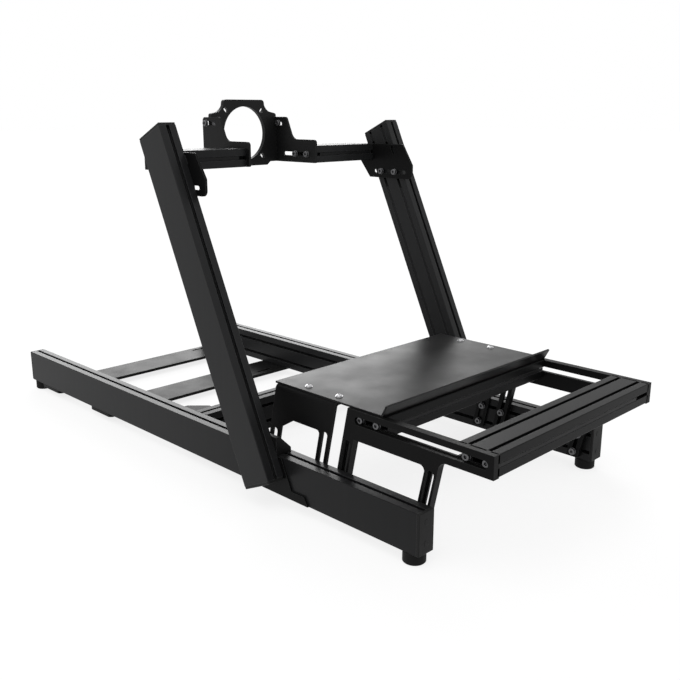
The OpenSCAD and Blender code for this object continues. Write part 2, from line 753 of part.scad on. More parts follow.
base_rail(1);  // base_rail_right
base_rail(-1);  // base_rail_left
rail_cap(1, true);  // rail_cap_front_right
rail_cap(-1, true);  // rail_cap_front_left
rail_cap(1, false);  // rail_cap_rear_right
rail_cap(-1, false);  // rail_cap_rear_left
foot(1, -foot_inset);  // foot_front_right
foot(-1, -foot_inset);  // foot_front_left
foot(1, foot_inset - base_len);  // foot_rear_right
foot(-1, foot_inset - base_len);  // foot_rear_left
seat_plate(seat_rear_y, seat_slot_edge - seat_rear_y);  // seat_plate_rear
seat_plate(seat_front_y, seat_plate_w - seat_slot_edge - seat_front_y);  // seat_plate_front
cross_member();
cross_bracket(1);  // corner_bracket_right
cross_bracket(-1);  // corner_bracket_left
rail_top_bracket(1);  // rail_top_bracket_right
rail_top_bracket(-1);  // rail_top_bracket_left
upright(1);  // upright_right
upright(-1);  // upright_left
upright_cap(1, true);  // upright_top_cap_right
upright_cap(-1, true);  // upright_top_cap_left
upright_cap(1, false);  // upright_base_cap_right
upright_cap(-1, false);  // upright_base_cap_left
upright_side_plate(1);  // upright_side_plate_right
upright_side_plate(-1);  // upright_side_plate_left
arm(1);  // arm_right
arm(-1);  // arm_left
arm_plate(1);  // arm_plate_right
arm_plate(-1);  // arm_plate_left
wheel_bracket(1);  // wheel_bracket_right
wheel_bracket(-1);  // wheel_bracket_left
wheel_mount_plate();
deck_side_plate(1);  // deck_side_plate_right
deck_side_plate(-1);  // deck_side_plate_left
deck_beam(front_beam_y);  // deck_beam_front
deck_beam(-rear_beam_y);  // deck_beam_rear
beam_end(1, front_beam_y);  // beam_end_front_right
beam_end(-1, front_beam_y);  // beam_end_front_left
beam_end(1, -rear_beam_y);  // beam_end_rear_right
beam_end(-1, -rear_beam_y);  // beam_end_rear_left
heel_plate();
heel_bracket(1);  // heel_bracket_right
heel_bracket(-1);  // heel_bracket_left
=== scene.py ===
"""Sim racing cockpit: finishes, screws, floor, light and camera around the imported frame."""
import math

import bmesh
import bpy
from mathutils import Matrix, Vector


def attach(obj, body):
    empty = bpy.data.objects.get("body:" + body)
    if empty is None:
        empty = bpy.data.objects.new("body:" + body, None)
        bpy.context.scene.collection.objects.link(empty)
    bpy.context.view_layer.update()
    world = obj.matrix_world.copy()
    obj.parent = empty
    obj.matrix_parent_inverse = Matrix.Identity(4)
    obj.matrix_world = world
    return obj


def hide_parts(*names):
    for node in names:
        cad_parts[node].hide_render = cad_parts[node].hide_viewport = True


bl_info = {
    "name": "Sim racing cockpit",
    "version": (1, 0, 0),
    "blender": (4, 5, 0),
    "location": "View3D > Sidebar > Cockpit",
    "description": "Finishes, screws and studio for a cockpit of slotted profiles",
    "category": "Object",
}

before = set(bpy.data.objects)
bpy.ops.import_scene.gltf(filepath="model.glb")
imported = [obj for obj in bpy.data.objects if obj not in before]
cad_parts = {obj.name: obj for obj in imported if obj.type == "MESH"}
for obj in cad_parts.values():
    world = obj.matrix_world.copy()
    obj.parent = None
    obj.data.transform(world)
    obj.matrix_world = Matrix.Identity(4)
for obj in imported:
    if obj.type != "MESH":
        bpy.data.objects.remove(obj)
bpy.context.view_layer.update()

# Places are metres in the shared frame: +Y to the pedal end, +X the driver's right, +Z up
RAIL_FRONT = 0.6485       # front ends of the base rails
RAIL_LOW = 0.022          # underside of the base rails
MM = 0.001
SIDES = (1, -1)


def at(x, y, z):
    """A point from millimetres beside the middle, ahead of the rail fronts and over the rail underside."""
    return Vector((x * MM, RAIL_FRONT + y * MM, RAIL_LOW + z * MM))


# Settings that a user would change

def colour_setting(name, description, default):
    return bpy.props.FloatVectorProperty(name=name, description=description, default=default,
                                         size=3, min=0.0, max=1.0, subtype="COLOR")


def length_setting(name, description, default):
    return bpy.props.FloatProperty(name=name, description=description, default=default,
                                   min=0.0, unit="LENGTH", subtype="DISTANCE")


def share_setting(name, description, default):
    return bpy.props.FloatProperty(name=name, description=description, default=default,
                                   min=0.0, max=1.0, subtype="FACTOR")


class CockpitFinishes(bpy.types.PropertyGroup):
    """Colours and gloss of the cockpit's metals, plastics and rubber."""
    anodised: colour_setting("Anodised", "Colour of the slotted profiles", (0.0062, 0.0063, 0.0066))
    anodised_gloss: share_setting("Profile roughness", "How satin the profiles are", 0.36)
    powder: colour_setting("Powder coat", "Colour of the cut and bent plates", (0.0045, 0.0045, 0.0046))
    powder_gloss: share_setting("Plate roughness", "How matte the plates are", 0.42)
    heel: colour_setting("Heel plate", "Colour of the heel plate", (0.0075, 0.0075, 0.0077))
    heel_gloss: share_setting("Heel plate roughness", "How satin the heel plate is", 0.40)
    casting: colour_setting("Brackets", "Colour of the cast corner brackets", (0.0070, 0.0070, 0.0072))
    plastic: colour_setting("End caps", "Colour of the moulded end caps", (0.0130, 0.0130, 0.0130))
    # painted highlight: a light colour blended in along every edge, standing in for light caught by the
    # rounded edges
    edge_highlight: colour_setting("Edges", "Colour of the fine light line along an edge", (0.105, 0.106, 0.109))
    rubber: colour_setting("Feet", "Colour of the rubber feet", (0.0070, 0.0070, 0.0070))
    black_steel: colour_setting("Black screws", "Colour of the socket screws", (0.130, 0.130, 0.134))
    bright_steel: colour_setting("Bright screws", "Colour of the heel plate screws", (0.55, 0.55, 0.56))


class CockpitScrews(bpy.types.PropertyGroup):
    """Sizes of the screws that hold the cockpit together."""
    head: length_setting("Head", "Diameter of a socket screw head", 0.0136)
    head_height: length_setting("Head height", "Height of a socket screw head", 0.0052)
    socket: length_setting("Socket", "Width of the hexagon socket", 0.0062)
    washer: length_setting("Washer", "Diameter of the washers", 0.0155)
    washer_height: length_setting("Washer height", "Thickness of the washers", 0.0010)
    button: length_setting("Button head", "Diameter of a heel plate screw head", 0.0125)
    button_height: length_setting("Button height", "Height of a heel plate screw head", 0.0036)


class CockpitCutPlates(bpy.types.PropertyGroup):
    """Sizes of the cut plates that carry the pedal deck and the heel plate."""
    deck: length_setting("Deck plate", "Thickness of the deck side plates", 0.015)
    recess: length_setting("Recess width", "Width of the recesses that take the screw heads", 0.016)
    recess_depth: length_setting("Recess depth", "Depth of those recesses", 0.0105)
    slot: length_setting("Slot width", "Width of the slots at the foot of the recesses", 0.011)
    leg_slot: length_setting("Leg slot", "Width of the slots in the deck plates' legs", 0.0086)
    strip: length_setting("Slot cover", "Width of the strips that close the profiles' slots", 0.0064)
    strip_depth: length_setting("Slot cover depth", "Thickness of those strips", 0.0012)
    deck_leg: length_setting("Deck leg", "Width of the deck plates' legs", 0.0275)
    heel: length_setting("Heel bracket", "Thickness of the heel brackets", 0.005)
    heel_leg: length_setting("Heel leg", "Width of the heel brackets' legs", 0.031)
    heel_slot: length_setting("Heel slot", "Width of the slots in those legs", 0.013)


class CockpitStudio(bpy.types.PropertyGroup):
    """Floor and light."""
    floor: colour_setting("Floor", "Colour of the studio floor", (0.80, 0.80, 0.80))
    floor_lift: share_setting("Floor lift", "How far the floor is lifted to white for the camera", 0.80)
    sky: share_setting("Sky", "Strength of the light from all round", 0.55)


def finishes():
    return bpy.context.scene.cockpit_finishes


def screws():
    return bpy.context.scene.cockpit_screws


def cut_plates():
    return bpy.context.scene.cockpit_cut_plates


def studio():
    return bpy.context.scene.cockpit_studio


# Small helpers for node trees

class Tree:
    """Adds and links nodes in one tree, from left to right."""

    def __init__(self, tree):
        self.tree = tree
        self.column = 0

    def add(self, kind, values=None, **settings):
        node = self.tree.nodes.new(kind)
        self.column += 1
        node.location = (180 * self.column, -40 * (self.column % 5))
        for key, value in settings.items():
            setattr(node, key, value)
        for key, value in (values or {}).items():
            self.feed(node.inputs[key], value)
        return node

    def feed(self, socket, value):
        """Links an output to an input, or sets the input to a plain value."""
        if isinstance(value, bpy.types.NodeSocket):
            self.tree.links.new(value, socket)
        else:
            socket.default_value = value

    def math(self, operation, *values):
        node = self.add("ShaderNodeMath", operation=operation)
        for socket, value in zip(node.inputs, values):
            self.feed(socket, value)
        return node.outputs[0]

    def ramp(self, factor, low, high, from_low=0.0, from_high=1.0):
        """A value that runs from low to high while factor runs between its two ends."""
        node = self.add("ShaderNodeMapRange", {"Value": factor, "From Min": from_low, "From Max": from_high,
                                               "To Min": low, "To Max": high})
        return node.outputs[0]

    def blend(self, factor, first, second):
        """Mixes two colours."""
        node = self.add("ShaderNodeMix", data_type="RGBA")
        self.feed(node.inputs[0], factor)
        self.feed(node.inputs[6], first)
        self.feed(node.inputs[7], second)
        return node.outputs[2]


def new_group(name, kind, inputs, outputs):
    """An empty node group with named sockets, given as (name, socket type, default)."""
    tree = bpy.data.node_groups.new(name, kind)
    for direction, sockets in (("INPUT", inputs), ("OUTPUT", outputs)):
        for label, socket_type, default in sockets:
            socket = tree.interface.new_socket(name=label, in_out=direction, socket_type=socket_type)
            if default is not None:
                socket.default_value = default
    nodes = Tree(tree)
    return nodes, nodes.add("NodeGroupInput").outputs, nodes.add("NodeGroupOutput").inputs


def camera_sight(nodes):
    """One where a ray comes from the camera, straight, mirrored or through something clear."""
    ray = nodes.add("ShaderNodeLightPath").outputs
    direct = nodes.math("MAXIMUM", ray["Is Camera Ray"], ray["Is Glossy Ray"])
    return nodes.math("MAXIMUM", direct, ray["Is Transmission Ray"])


# Shared effects

def soft_edges_group():
    """Rounds every sharp edge by a small radius for the shading, and marks where the edges are."""
    nodes, given, out = new_group(
        "Soft edges", "ShaderNodeTree",
        [("Radius", "NodeSocketFloat", 0.0005)],
        [("Normal", "NodeSocketVector", None), ("Edge", "NodeSocketFloat", None)])
    bevel = nodes.add("ShaderNodeBevel", {"Radius": given["Radius"]}, samples=6)
    true = nodes.add("ShaderNodeNewGeometry").outputs["True Normal"]
    turned = nodes.add("ShaderNodeVectorMath", operation="DOT_PRODUCT")
    nodes.feed(turned.inputs[0], bevel.outputs[0])
    nodes.feed(turned.inputs[1], true)
    nodes.feed(out["Normal"], bevel.outputs[0])
    nodes.feed(out["Edge"], nodes.ramp(turned.outputs["Value"], 1.0, 0.0, 0.80, 0.990))
    return nodes.tree


def draw_lines_group():
    """Fine die lines along an extrusion, with a slow change of tone along its length."""
    nodes, given, out = new_group(
        "Draw lines", "ShaderNodeTree",
        [("Along", "NodeSocketVector", (0.0, 0.0, 0.0)), ("Fineness", "NodeSocketFloat", 900.0)],
        [("Lines", "NodeSocketFloat", None), ("Tone", "NodeSocketFloat", None)])
    fine = nodes.add("ShaderNodeMapping", {"Vector": nodes.add("ShaderNodeTexCoord").outputs["Object"],
                                           "Rotation": given["Along"], "Scale": (1.0, 1.0, 0.006)})
    lines = nodes.add("ShaderNodeTexNoise", {"Vector": fine.outputs[0], "Scale": given["Fineness"],
                                             "Detail": 3.0, "Roughness": 0.6})
    tone = nodes.add("ShaderNodeTexNoise", {"Vector": fine.outputs[0], "Scale": 90.0, "Detail": 2.0})
    nodes.feed(out["Lines"], lines.outputs["Fac"])
    nodes.feed(out["Tone"], tone.outputs["Fac"])
    return nodes.tree


def grain_group():
    """Grain of a coat or a casting, and a slow unevenness over the surface."""
    nodes, given, out = new_group(
        "Grain", "ShaderNodeTree",
        [("Fineness", "NodeSocketFloat", 1400.0), ("Sharpness", "NodeSocketFloat", 0.5)],
        [("Grain", "NodeSocketFloat", None), ("Uneven", "NodeSocketFloat", None)])
    place = nodes.add("ShaderNodeTexCoord").outputs["Object"]
    fine = nodes.add("ShaderNodeTexNoise", {"Vector": place, "Scale": given["Fineness"], "Detail": 2.0,
                                            "Roughness": given["Sharpness"]})
    pits = nodes.add("ShaderNodeTexVoronoi", {"Vector": place, "Scale": given["Fineness"]},
                     feature="SMOOTH_F1")
    slow = nodes.add("ShaderNodeTexNoise", {"Vector": place, "Scale": 14.0, "Detail": 4.0})
    nodes.feed(out["Grain"], nodes.math("MULTIPLY_ADD", pits.outputs["Distance"], 0.5,
                                        fine.outputs["Fac"]))
    nodes.feed(out["Uneven"], slow.outputs["Fac"])
    return nodes.tree


def dust_group():
    """A thin settled dust on faces that look up."""
    nodes, given, out = new_group(
        "Dust", "ShaderNodeTree",
        [("Amount", "NodeSocketFloat", 0.05)],
        [("Dust", "NodeSocketFloat", None)])
    normal = nodes.add("ShaderNodeNewGeometry").outputs["Normal"]
    up = nodes.add("ShaderNodeSeparateXYZ", {"Vector": normal}).outputs["Z"]
    facing = nodes.ramp(up, 0.0, 1.0, 0.5, 1.0)
    place = nodes.add("ShaderNodeTexCoord").outputs["Object"]
    specks = nodes.add("ShaderNodeTexNoise", {"Vector": place, "Scale": 260.0, "Detail": 5.0,
                                              "Roughness": 0.7})
    cover = nodes.ramp(specks.outputs["Fac"], 0.35, 1.0, 0.35, 0.75)
    nodes.feed(out["Dust"], nodes.math("MULTIPLY", nodes.math("MULTIPLY", facing, cover),
                                       given["Amount"]))
    return nodes.tree


EFFECTS = {}


def effect(name):
    """The shared node group of that name, built the first time it is asked for."""
    makers = {"Soft edges": soft_edges_group, "Draw lines": draw_lines_group,
              "Grain": grain_group, "Dust": dust_group}
    if name not in EFFECTS:
        EFFECTS[name] = makers[name]()
    return EFFECTS[name]


# Materials

DUST = (0.32, 0.32, 0.31, 1.0)
CAP_DUST = (0.30, 0.30, 0.29, 1.0)


class Finish:
    """A material in the making: a Principled shader with the shared effects placed beside it."""

    def __init__(self, name, colour):
        self.material = bpy.data.materials.new(name)
        self.material.use_nodes = True
        self.material.diffuse_color = (*colour, 1.0)
        self.nodes = Tree(self.material.node_tree)
        self.colour = (*colour, 1.0)
        # the colour of the painted edge highlight
        self.edge = (*finishes().edge_highlight, 1.0)
        self.shader = next(n for n in self.material.node_tree.nodes if n.type == "BSDF_PRINCIPLED")
        self.shader.location = (1800, 0)

    def place(self, name, **values):
        node = self.nodes.add("ShaderNodeGroup", node_tree=effect(name))
        for key, value in values.items():
            self.nodes.feed(node.inputs[key], value)
        return node.outputs

    def bump(self, height, strength, distance, normal):
        node = self.nodes.add("ShaderNodeBump", {"Height": height, "Strength": strength,
                                                 "Distance": distance, "Normal": normal})
        return node.outputs[0]

    def done(self, **inputs):
        inputs.setdefault("Specular_IOR_Level", 0.12)
        for key, value in inputs.items():
            self.nodes.feed(self.shader.inputs[key.replace("_", " ")], value)
        return self.material


def shade(colour, factor):
    """The colour made lighter or darker."""
    return tuple(min(1.0, c * factor) for c in colour[:3]) + (1.0,)


def anodised_finish(name, along, colour, roughness, gleam):
    """Black anodised extrusion with die lines along its length; gleam is its specular level."""
    f = Finish(name, colour)
    edges = f.place("Soft edges", Radius=0.0009)
    lines = f.place("Draw lines", Along=along)
    dust = f.place("Dust", Amount=0.012)
    tone = f.nodes.blend(lines["Tone"], shade(f.colour, 0.86), shade(f.colour, 1.14))
    # painted highlight: the edges blended towards the light edge colour, for light caught by the rounded
    # edges
    with_edge_highlight = f.nodes.blend(f.nodes.math("MULTIPLY", edges["Edge"], 0.8), tone, f.edge)
    top = f.nodes.blend(dust["Dust"], with_edge_highlight, DUST)
    gloss = f.nodes.ramp(lines["Lines"], roughness - 0.05, roughness + 0.06)
    return f.done(Base_Color=top, Roughness=gloss, Specular_IOR_Level=gleam,
                  Normal=f.bump(lines["Lines"], 0.08, 0.00008, edges["Normal"]))


def powder_finish(name, colour, roughness, fineness=1500.0, depth=0.12, gleam=0.07):
    """Powder coat with a fine orange peel, and a painted highlight that makes the cut edges lighter."""
    f = Finish(name, colour)
    edges = f.place("Soft edges", Radius=0.0008)
    grain = f.place("Grain", Fineness=fineness)
    dust = f.place("Dust", Amount=0.012)
    tone = f.nodes.blend(grain["Uneven"], shade(f.colour, 0.85), shade(f.colour, 1.15))
    # painted highlight: the cut edges blended towards the light edge colour
    with_edge_highlight = f.nodes.blend(f.nodes.math("MULTIPLY", edges["Edge"], 0.55), tone, f.edge)
    top = f.nodes.blend(dust["Dust"], with_edge_highlight, DUST)
    gloss = f.nodes.ramp(grain["Uneven"], roughness - 0.05, roughness + 0.05, 0.3, 0.7)
    return f.done(Base_Color=top, Roughness=gloss, Specular_IOR_Level=gleam,
                  Normal=f.bump(grain["Grain"], depth, 0.0001, edges["Normal"]))


def casting_finish(name, colour):
    """Coated die casting: a coarser skin with soft edges that carry a painted highlight."""
    f = Finish(name, colour)
    edges = f.place("Soft edges", Radius=0.0011)
    grain = f.place("Grain", Fineness=750.0, Sharpness=0.65)
    tone = f.nodes.blend(grain["Uneven"], shade(f.colour, 0.8), shade(f.colour, 1.2))
    # painted highlight: the edges blended towards the light edge colour
    with_edge_highlight = f.nodes.blend(f.nodes.math("MULTIPLY", edges["Edge"], 0.5), tone, f.edge)
    gloss = f.nodes.ramp(grain["Grain"], 0.42, 0.58)
    return f.done(Base_Color=with_edge_highlight, Roughness=gloss,
                  Normal=f.bump(grain["Grain"], 0.3, 0.00015, edges["Normal"]))


def moulded_finish(name, colour, roughness, fineness, depth):
    """Spark-grained plastic or rubber."""
    f = Finish(name, colour)
    edges = f.place("Soft edges", Radius=0.0006)
    grain = f.place("Grain", Fineness=fineness, Sharpness=0.7)
    dust = f.place("Dust", Amount=0.02)
    tone = f.nodes.blend(grain["Uneven"], shade(f.colour, 0.8), shade(f.colour, 1.25))
    # painted highlight: the edges blended towards the light edge colour
    with_edge_highlight = f.nodes.blend(f.nodes.math("MULTIPLY", edges["Edge"], 0.4), tone, f.edge)
    top = f.nodes.blend(dust["Dust"], with_edge_highlight, CAP_DUST)
    gloss = f.nodes.ramp(grain["Uneven"], roughness - 0.06, roughness + 0.06, 0.3, 0.7)
    return f.done(Base_Color=top, Roughness=gloss,
                  Normal=f.bump(grain["Grain"], depth, 0.00012, edges["Normal"]))


def steel_finish(name, colour, metallic, roughness):
    """Screw steel, black or bright, with fine turning marks."""
    f = Finish(name, colour)
    grain = f.place("Grain", Fineness=2600.0, Sharpness=0.6)
    edges = f.place("Soft edges", Radius=0.00035)
    tone = f.nodes.blend(grain["Uneven"], shade(f.colour, 0.85), shade(f.colour, 1.15))
    # lighter rims: partly worn steel, partly a painted highlight for the glint on the heads' edges
    with_edge_highlight = f.nodes.blend(f.nodes.math("MULTIPLY", edges["Edge"], 0.6), tone, shade(f.colour, 2.6))
    gloss = f.nodes.ramp(grain["Grain"], roughness - 0.05, roughness + 0.08)
    return f.done(Base_Color=with_edge_highlight, Roughness=gloss, Metallic=metallic,
                  Normal=f.bump(grain["Grain"], 0.12, 0.00005, edges["Normal"]))


def dress(material, *names):
    """Gives the material to those pieces of the frame."""
    for name in names:
        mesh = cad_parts[name].data
        mesh.materials.clear()
        mesh.materials.append(material)


def both(*names):
    """The right and left piece of each name."""
    return [name + hand for name in names for hand in ("_right", "_left")]


# Screws

SEGMENTS = 36
UNEVEN_TURN = 2.399963    # radians from one screw's socket to the next


def screw_heads_tree():
    """Puts a screw head with a washer on every point, facing along the point's own direction."""
    length = "NodeSocketFloat"
    nodes, given, out = new_group(
        "Screw heads", "GeometryNodeTree",
        [("Places", "NodeSocketGeometry", None), ("Head diameter", length, 0.013),
         ("Head height", length, 0.008), ("Edge", length, 0.0007), ("Crown", length, 0.0),
         ("Socket width", length, 0.006), ("Socket depth", length, 0.004),
         ("Washer diameter", length, 0.0155), ("Washer height", length, 0.0014),
         ("Finish", "NodeSocketMaterial", None)],
        [("Screws", "NodeSocketGeometry", None)])

    def disc(radius):
        return nodes.add("GeometryNodeMeshCircle", {"Vertices": SEGMENTS, "Radius": radius},
                         fill_type="NGON").outputs[0]

    def grow(mesh, top, height):
        values = {"Mesh": mesh, "Offset Scale": height}
        if top is not None:
            values["Selection"] = top
        node = nodes.add("GeometryNodeExtrudeMesh", values)
        node.inputs["Individual"].default_value = False
        return node.outputs["Mesh"], node.outputs["Top"]

    def shrink(mesh, top, factor):
        node = nodes.add("GeometryNodeScaleElements", {"Selection": top, "Scale": factor})
        nodes.feed(node.inputs[0], mesh)
        return node.outputs[0]

    def closed(mesh, radius):
        """Joins the underside to what was grown, and welds the seam."""
        under = nodes.add("GeometryNodeFlipFaces", {"Mesh": disc(radius)}).outputs[0]
        join = nodes.add("GeometryNodeJoinGeometry")
        nodes.feed(join.inputs[0], mesh)
        nodes.feed(join.inputs[0], under)
        return nodes.add("GeometryNodeMergeByDistance", {"Geometry": join.outputs[0],
                                                         "Distance": 1e-6}).outputs[0]

    def rim(mesh, top, radius, edge):
        """A small chamfer round the top edge."""
        mesh, top = grow(mesh, top, edge)
        factor = nodes.math("DIVIDE", nodes.math("SUBTRACT", radius, edge), radius)
        return shrink(mesh, top, factor), top

    edge = given["Edge"]
    radius = nodes.math("MULTIPLY", given["Head diameter"], 0.5)
    side = nodes.math("SUBTRACT", nodes.math("SUBTRACT", given["Head height"], edge), given["Crown"])
    mesh, top = grow(disc(radius), None, side)
    mesh, top = rim(mesh, top, radius, edge)
    for factor in (0.9, 0.86, 0.82):
        mesh, top = grow(mesh, top, 0.0)
        mesh = shrink(mesh, top, factor)
    mesh, top = grow(mesh, top, 0.0)

    # the innermost ring is moved onto a hexagon
    position = nodes.add("GeometryNodeInputPosition").outputs[0]
    split = nodes.add("ShaderNodeSeparateXYZ", {"Vector": position}).outputs
    angle = nodes.math("ARCTAN2", split["Y"], split["X"])
    sixth = math.pi / 3
    turn = nodes.math("SUBTRACT", nodes.math("FLOORED_MODULO", angle, sixth), sixth / 2)
    reach = nodes.math("DIVIDE", nodes.math("MULTIPLY", given["Socket width"], 0.5),
                       nodes.math("COSINE", turn))
    hexagon = nodes.add("ShaderNodeCombineXYZ", {
        "X": nodes.math("MULTIPLY", reach, nodes.math("COSINE", angle)),
        "Y": nodes.math("MULTIPLY", reach, nodes.math("SINE", angle)), "Z": split["Z"]})
    mesh = nodes.add("GeometryNodeSetPosition", {"Geometry": mesh, "Selection": top,
                                                 "Position": hexagon.outputs[0]}).outputs[0]

    # a crowned head rises towards its middle
    flat = nodes.add("ShaderNodeCombineXYZ", {"X": split["X"], "Y": split["Y"]}).outputs[0]
    out_by = nodes.add("ShaderNodeVectorMath", {"Vector": flat}, operation="LENGTH").outputs["Value"]
    share = nodes.math("DIVIDE", out_by, radius)
    rise = nodes.math("MULTIPLY", given["Crown"],
                      nodes.math("SUBTRACT", 1.0, nodes.math("MULTIPLY", share, share)))
    high = nodes.math("GREATER_THAN", split["Z"], nodes.math("MULTIPLY", side, 0.5))
    lift = nodes.add("ShaderNodeCombineXYZ", {"Z": rise}).outputs[0]
    mesh = nodes.add("GeometryNodeSetPosition", {"Geometry": mesh, "Selection": high,
                                                 "Offset": lift}).outputs[0]
    mesh, top = grow(mesh, top, nodes.math("MULTIPLY", given["Socket depth"], -1.0))
    head = closed(mesh, radius)
    seat = nodes.add("ShaderNodeCombineXYZ", {"Z": given["Washer height"]}).outputs[0]
    head = nodes.add("GeometryNodeTransform", {"Geometry": head, "Translation": seat}).outputs[0]

    round_washer = nodes.math("MULTIPLY", given["Washer diameter"], 0.5)
    small_edge = nodes.math("MULTIPLY", given["Washer height"], 0.2)
    mesh, top = grow(disc(round_washer), None, nodes.math("MULTIPLY", given["Washer height"], 0.8))
    mesh, top = rim(mesh, top, round_washer, small_edge)
    washer = closed(mesh, round_washer)

    join = nodes.add("GeometryNodeJoinGeometry")
    nodes.feed(join.inputs[0], head)
    nodes.feed(join.inputs[0], washer)
    smooth = nodes.add("GeometryNodeSetShadeSmooth", {"Shade Smooth": True}, domain="FACE")
    nodes.feed(smooth.inputs[0], join.outputs[0])
    steep = nodes.math("GREATER_THAN", nodes.add("GeometryNodeInputMeshEdgeAngle").outputs[0], 0.4)
    crisp = nodes.add("GeometryNodeSetShadeSmooth", {"Selection": steep, "Shade Smooth": False},
                      domain="EDGE")
    nodes.feed(crisp.inputs[0], smooth.outputs[0])

    facing = nodes.add("GeometryNodeInputNamedAttribute", {"Name": "facing"},
                       data_type="FLOAT_VECTOR").outputs[0]
    twist = nodes.add("GeometryNodeInputNamedAttribute", {"Name": "twist"}, data_type="FLOAT").outputs[0]
    aim = nodes.add("FunctionNodeAlignRotationToVector", {"Vector": facing}, axis="Z").outputs[0]
    spin = nodes.add("FunctionNodeAxisAngleToRotation", {"Axis": (0.0, 0.0, 1.0), "Angle": twist})
    turned = nodes.add("FunctionNodeRotateRotation", {"Rotation": aim, "Rotate By": spin.outputs[0]},
                       rotation_space="LOCAL").outputs[0]
    spread = nodes.add("GeometryNodeInstanceOnPoints", {
        "Points": given["Places"], "Instance": crisp.outputs[0], "Rotation": turned})
    real = nodes.add("GeometryNodeRealizeInstances", {"Geometry": spread.outputs[0]})
    finish = nodes.add("GeometryNodeSetMaterial", {"Geometry": real.outputs[0],
                                                   "Material": given["Finish"]})
    nodes.feed(out["Screws"], finish.outputs[0])
    return nodes.tree


SCREW_TREE = []


def set_screws(name, places, finish, **sizes):
    """One piece of screws. places holds (point, direction the head faces); sizes are tree inputs."""
    if not SCREW_TREE:
        SCREW_TREE.append(screw_heads_tree())
    tree = SCREW_TREE[0]
    s = screws()
    values = {"Head diameter": s.head, "Head height": s.head_height, "Socket width": s.socket,
              "Washer diameter": s.washer, "Washer height": s.washer_height, "Finish": finish}
    values.update({key.replace("_", " ").capitalize(): value for key, value in sizes.items()})
    mesh = bpy.data.meshes.new(name + " places")
    mesh.from_pydata([tuple(point) for point, _ in places], [], [])
    mesh.attributes.new("facing", "FLOAT_VECTOR", "POINT")
    mesh.attributes.new("twist", "FLOAT", "POINT")
    for i, (_, direction) in enumerate(places):
        mesh.attributes["facing"].data[i].vector = direction
        mesh.attributes["twist"].data[i].value = (i * UNEVEN_TURN) % (2 * math.pi)
    seed = bpy.data.objects.new(name + " places", mesh)
    bpy.context.scene.collection.objects.link(seed)
    modifier = seed.modifiers.new("Screws", "NODES")
    modifier.node_group = tree
    for item in tree.interface.items_tree:
        if item.in_out == "INPUT" and item.name in values:
            modifier[item.identifier] = values[item.name]
    bpy.context.view_layer.update()
    plain = bpy.data.meshes.new_from_object(seed.evaluated_get(bpy.context.evaluated_depsgraph_get()))
    for attribute in ("facing", "twist"):
        if attribute in plain.attributes:
            plain.attributes.remove(plain.attributes[attribute])
    seed.modifiers.remove(modifier)
    bpy.data.objects.remove(seed)
    bpy.data.meshes.remove(mesh)
    plain.name = name
    piece = bpy.data.objects.new(name, plain)
    bpy.context.scene.collection.objects.link(piece)
    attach(piece, "root")


# Places that the plates, covers and screws share, in millimetres as at() takes them

LEAN = math.radians(25)          # of the uprights
LEG_RUN = math.tan(math.radians(12))   # how far a leg runs forward for each unit of height
SLOT_PITCH = 40.0                # from slot to slot, and twice a slot's distance from an edge
RAIL_SLOTS = (20.0, 60.0)        # heights of the slots in the rails' sides
RAIL_MIDDLE = 288.0
RAIL_TOP = 80.0
PLATE_FACE = 268.0               # the rails' inner faces, where the deck plates and heel brackets stand
SHEET = 5.0                      # thickness of the brackets
CROSS_REAR = -686.0              # rear face of the cross member
UPRIGHT_FACE = 312.0             # inner faces of the uprights
UPRIGHT_CORNER = (-336.0, 40.0)  # lower front corner of the uprights
ARM_FRONT = -686.0               # front faces of the arms
ARM_Z = 630.0                    # middles of the arms
ARM_BOLTS = (-706.0, -746.0)
BRACKET_IN = 98.0                # inner face of a wheel bracket
PIVOT_Y = -821.0                 # pivot bolts of the wheel plate
DECK_TOP = 207.0                 # top of the deck beams
DECK_BOLTS = (-183, -143, 55, 95)
BOLT_Z = 187.0                   # bolts of the deck beams
LEG_FOOT = 8.0                   # lower end of the legs
SLOT_LOW = 16.0                  # lower end of the leg slots
HEEL_BOLT_X = 242.0
HEEL_BOLTS = (-340.0, -256.0)
HEEL_TOP = 211.0                 # top of the heel plate


def upright_slot(z, row):
    """Where an upright's inner slot lies at height z, along the rails; row 0 is the front slot."""
    y, low = UPRIGHT_CORNER
    return y - (z - low) * math.tan(LEAN) - SLOT_PITCH * (row + 0.5) / math.cos(LEAN)


# Cut plates



def arc(y, z, radius, start, stop, steps=6):
    """Points of an arc in a flat view, in millimetres and degrees."""
    angles = [math.radians(start + (stop - start) * i / steps) for i in range(steps + 1)]
    return [(y + radius * math.cos(a), z + radius * math.sin(a)) for a in angles]


def leaning(foot, z):
    """A point at height z on a line that leans as the legs do, from its foot at height zero."""
    return foot + z * LEG_RUN, z


def slot_outline(first, second, width):
    """Outline of a slot with round ends whose tips are at two points."""
    line = Vector(second) - Vector(first)
    inset = line.normalized() * width / 2
    start, end = Vector(first) + inset, Vector(second) - inset
    turn = math.degrees(math.atan2(line.y, line.x))
    return (arc(end.x, end.y, width / 2, turn - 90, turn + 90, 10)
            + arc(start.x, start.y, width / 2, turn + 90, turn + 270, 10))


def block(name, pairs):
    """An object of closed prisms, each between two rings of as many points."""
    shape = bmesh.new()
    for pair in pairs:
        near, far = [[shape.verts.new(point) for point in ring] for ring in pair]
        shape.faces.new(near)
        shape.faces.new(far)
        for i, point in enumerate(near):
            shape.faces.new((near[i - 1], point, far[i], far[i - 1]))
    bmesh.ops.recalc_face_normals(shape, faces=shape.faces)
    mesh = bpy.data.meshes.new(name)
    shape.to_mesh(mesh)
    shape.free()
    piece = bpy.data.objects.new(name, mesh)
    bpy.context.scene.collection.objects.link(piece)
    return piece


def side_view(side, near, far, outline):
    """The two rings of a prism that shows this outline from the side."""
    return [[at(side * x, y, z) for y, z in outline] for x in (near, far)]


